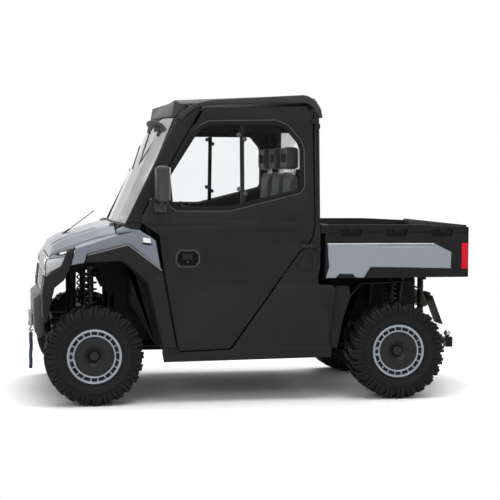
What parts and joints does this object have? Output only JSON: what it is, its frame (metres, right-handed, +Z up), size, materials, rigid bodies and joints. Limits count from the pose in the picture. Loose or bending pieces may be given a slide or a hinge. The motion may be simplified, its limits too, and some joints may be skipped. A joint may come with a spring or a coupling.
{
  "type": "side by side utility vehicle",
  "caption": "Closed-cab side by side utility vehicle with full doors, a tilting cargo bed with a drop tailgate, steered front wheels, a hinged hood and a front winch.",
  "frame": {"origin": "on the ground under the middle of the vehicle's overall box", "axes": "+X towards the rear, +Y towards the passenger's side, +Z up"},
  "size_m": [3.095, 1.87, 2.056],
  "materials": {
    "matt_shell": "grained charcoal",
    "blue_shell": "metallic blue grey",
    "grey_shell": "moulded grey",
    "window_glass": "clear",
    "lamp_clear": "clear lens",
    "lamp_red": "red lens",
    "frame_paint": "black powder coat",
    "wheel_finish": "painted disc",
    "tyre_rubber": "black rubber",
    "bare_steel": "plain steel",
    "shock_finish": "black springs",
    "engine_casting": "as cast",
    "bed_plastic": "textured black",
    "inside_plastic": "fine grain",
    "seat_cover": "vinyl coated cloth",
    "strap_web": "woven webbing"
  },
  "bodies": {
    "chassis": {"cab_frame": "frame_paint", "cab_glass": "window_glass", "cowl": "matt_shell", "dashboard": "inside_plastic", "drivetrain": "bare_steel", "engine_block": "engine_casting", "exhaust": "bare_steel", "fenders": "blue_shell", "floor_pans": "bed_plastic", "frame_rails": "frame_paint", "front_arches": "matt_shell", "front_bumper": "matt_shell", "front_fascia": "grey_shell", "front_tower": "frame_paint", "headlamps": "lamp_clear", "headrests": "seat_cover", "hitch": "frame_paint", "outriggers": "frame_paint", "pillars": "matt_shell", "plate_holder": "grey_shell", "rear_arches": "matt_shell", "rear_hubs": "frame_paint", "rear_tower": "frame_paint", "rear_wall": "matt_shell", "roof": "matt_shell", "seat_backs": "seat_cover", "seat_box": "frame_paint", "seat_cushions": "seat_cover", "shocks": "shock_finish", "side_panels": "matt_shell", "suspension_arms": "frame_paint", "winch": "bare_steel", "winch_strap": "strap_web", "wiper": "inside_plastic"},
    "knuckle_left": {"knuckle_left": "frame_paint"},
    "knuckle_right": {"knuckle_right": "frame_paint"},
    "wheel_front_left": {"tyre_front_left": "tyre_rubber", "rim_front_left": "wheel_finish"},
    "wheel_front_right": {"tyre_front_right": "tyre_rubber", "rim_front_right": "wheel_finish"},
    "wheel_rear_left": {"tyre_rear_left": "tyre_rubber", "rim_rear_left": "wheel_finish"},
    "wheel_rear_right": {"tyre_rear_right": "tyre_rubber", "rim_rear_right": "wheel_finish"},
    "rack": {"steering_rack": "bare_steel"},
    "steering_wheel": {"steering_wheel": "inside_plastic"},
    "door_left": {"door_left": "matt_shell", "door_glass_left": "window_glass", "mirror_left": "matt_shell"},
    "door_right": {"door_right": "matt_shell", "door_glass_right": "window_glass", "mirror_right": "matt_shell"},
    "hood": {"hood": "blue_shell", "antenna": "inside_plastic"},
    "bed": {"bed_tub": "bed_plastic", "bed_trim": "blue_shell", "tail_lamps": "lamp_red"},
    "tailgate": {"tailgate": "bed_plastic"}
  },
  "joints": [
    {"name": "steer_left", "type": "hinge", "parent": "chassis", "child": "knuckle_left", "pos_m": [-1.1425, -0.6, 0.325], "axis": [0, 0, 1], "range_deg": [-30, 30]},
    {"name": "steer_right", "type": "hinge", "parent": "chassis", "child": "knuckle_right", "pos_m": [-1.1425, 0.6, 0.325], "axis": [0, 0, 1], "range_deg": [-31, 31]},
    {"name": "rack_slide", "type": "slide", "parent": "chassis", "child": "rack", "axis": [0, 1, 0], "range_m": [-0.058, 0.058]},
    {"name": "steering_column", "type": "hinge", "parent": "chassis", "child": "steering_wheel", "pos_m": [-0.6225, -0.37, 1.05], "axis": [0.8713, 0, 0.4907], "range_deg": [-275, 275]},
    {"name": "roll_front_left", "type": "hinge", "parent": "knuckle_left", "child": "wheel_front_left", "pos_m": [-1.1425, -0.694, 0.325], "axis": [0, 1, 0], "continuous": true},
    {"name": "roll_rear_left", "type": "hinge", "parent": "chassis", "child": "wheel_rear_left", "pos_m": [0.9075, -0.6705, 0.325], "axis": [0, 1, 0], "continuous": true},
    {"name": "roll_front_right", "type": "hinge", "parent": "knuckle_right", "child": "wheel_front_right", "pos_m": [-1.1425, 0.694, 0.325], "axis": [0, 1, 0], "continuous": true},
    {"name": "roll_rear_right", "type": "hinge", "parent": "chassis", "child": "wheel_rear_right", "pos_m": [0.9075, 0.6705, 0.325], "axis": [0, 1, 0], "continuous": true},
    {"name": "door_left_swing", "type": "hinge", "parent": "chassis", "child": "door_left", "pos_m": [0.3475, -0.759, 1.024], "axis": [0, 0.0572, 0.9984], "range_deg": [0, 65]},
    {"name": "door_right_swing", "type": "hinge", "parent": "chassis", "child": "door_right", "pos_m": [0.3475, 0.759, 1.024], "axis": [0, 0.0572, -0.9984], "range_deg": [0, 65]},
    {"name": "hood_tilt", "type": "hinge", "parent": "chassis", "child": "hood", "pos_m": [-0.9865, 0, 1.182], "axis": [0, 1, 0], "range_deg": [0, 45]},
    {"name": "bed_tilt", "type": "hinge", "parent": "chassis", "child": "bed", "pos_m": [1.2375, 0, 0.79], "axis": [0, 1, 0], "range_deg": [0, 40]},
    {"name": "tailgate_drop", "type": "hinge", "parent": "bed", "child": "tailgate", "pos_m": [1.4005, 0, 0.838], "axis": [0, 1, 0], "range_deg": [0, 90]}
  ],
  "couplings": [
    {"joint": "steer_right", "follows": "steer_left", "ratio": 1},
    {"joint": "rack_slide", "follows": "steer_left", "m_per_rad": 0.105},
    {"joint": "steering_column", "follows": "steer_left", "ratio": 9}
  ]
}
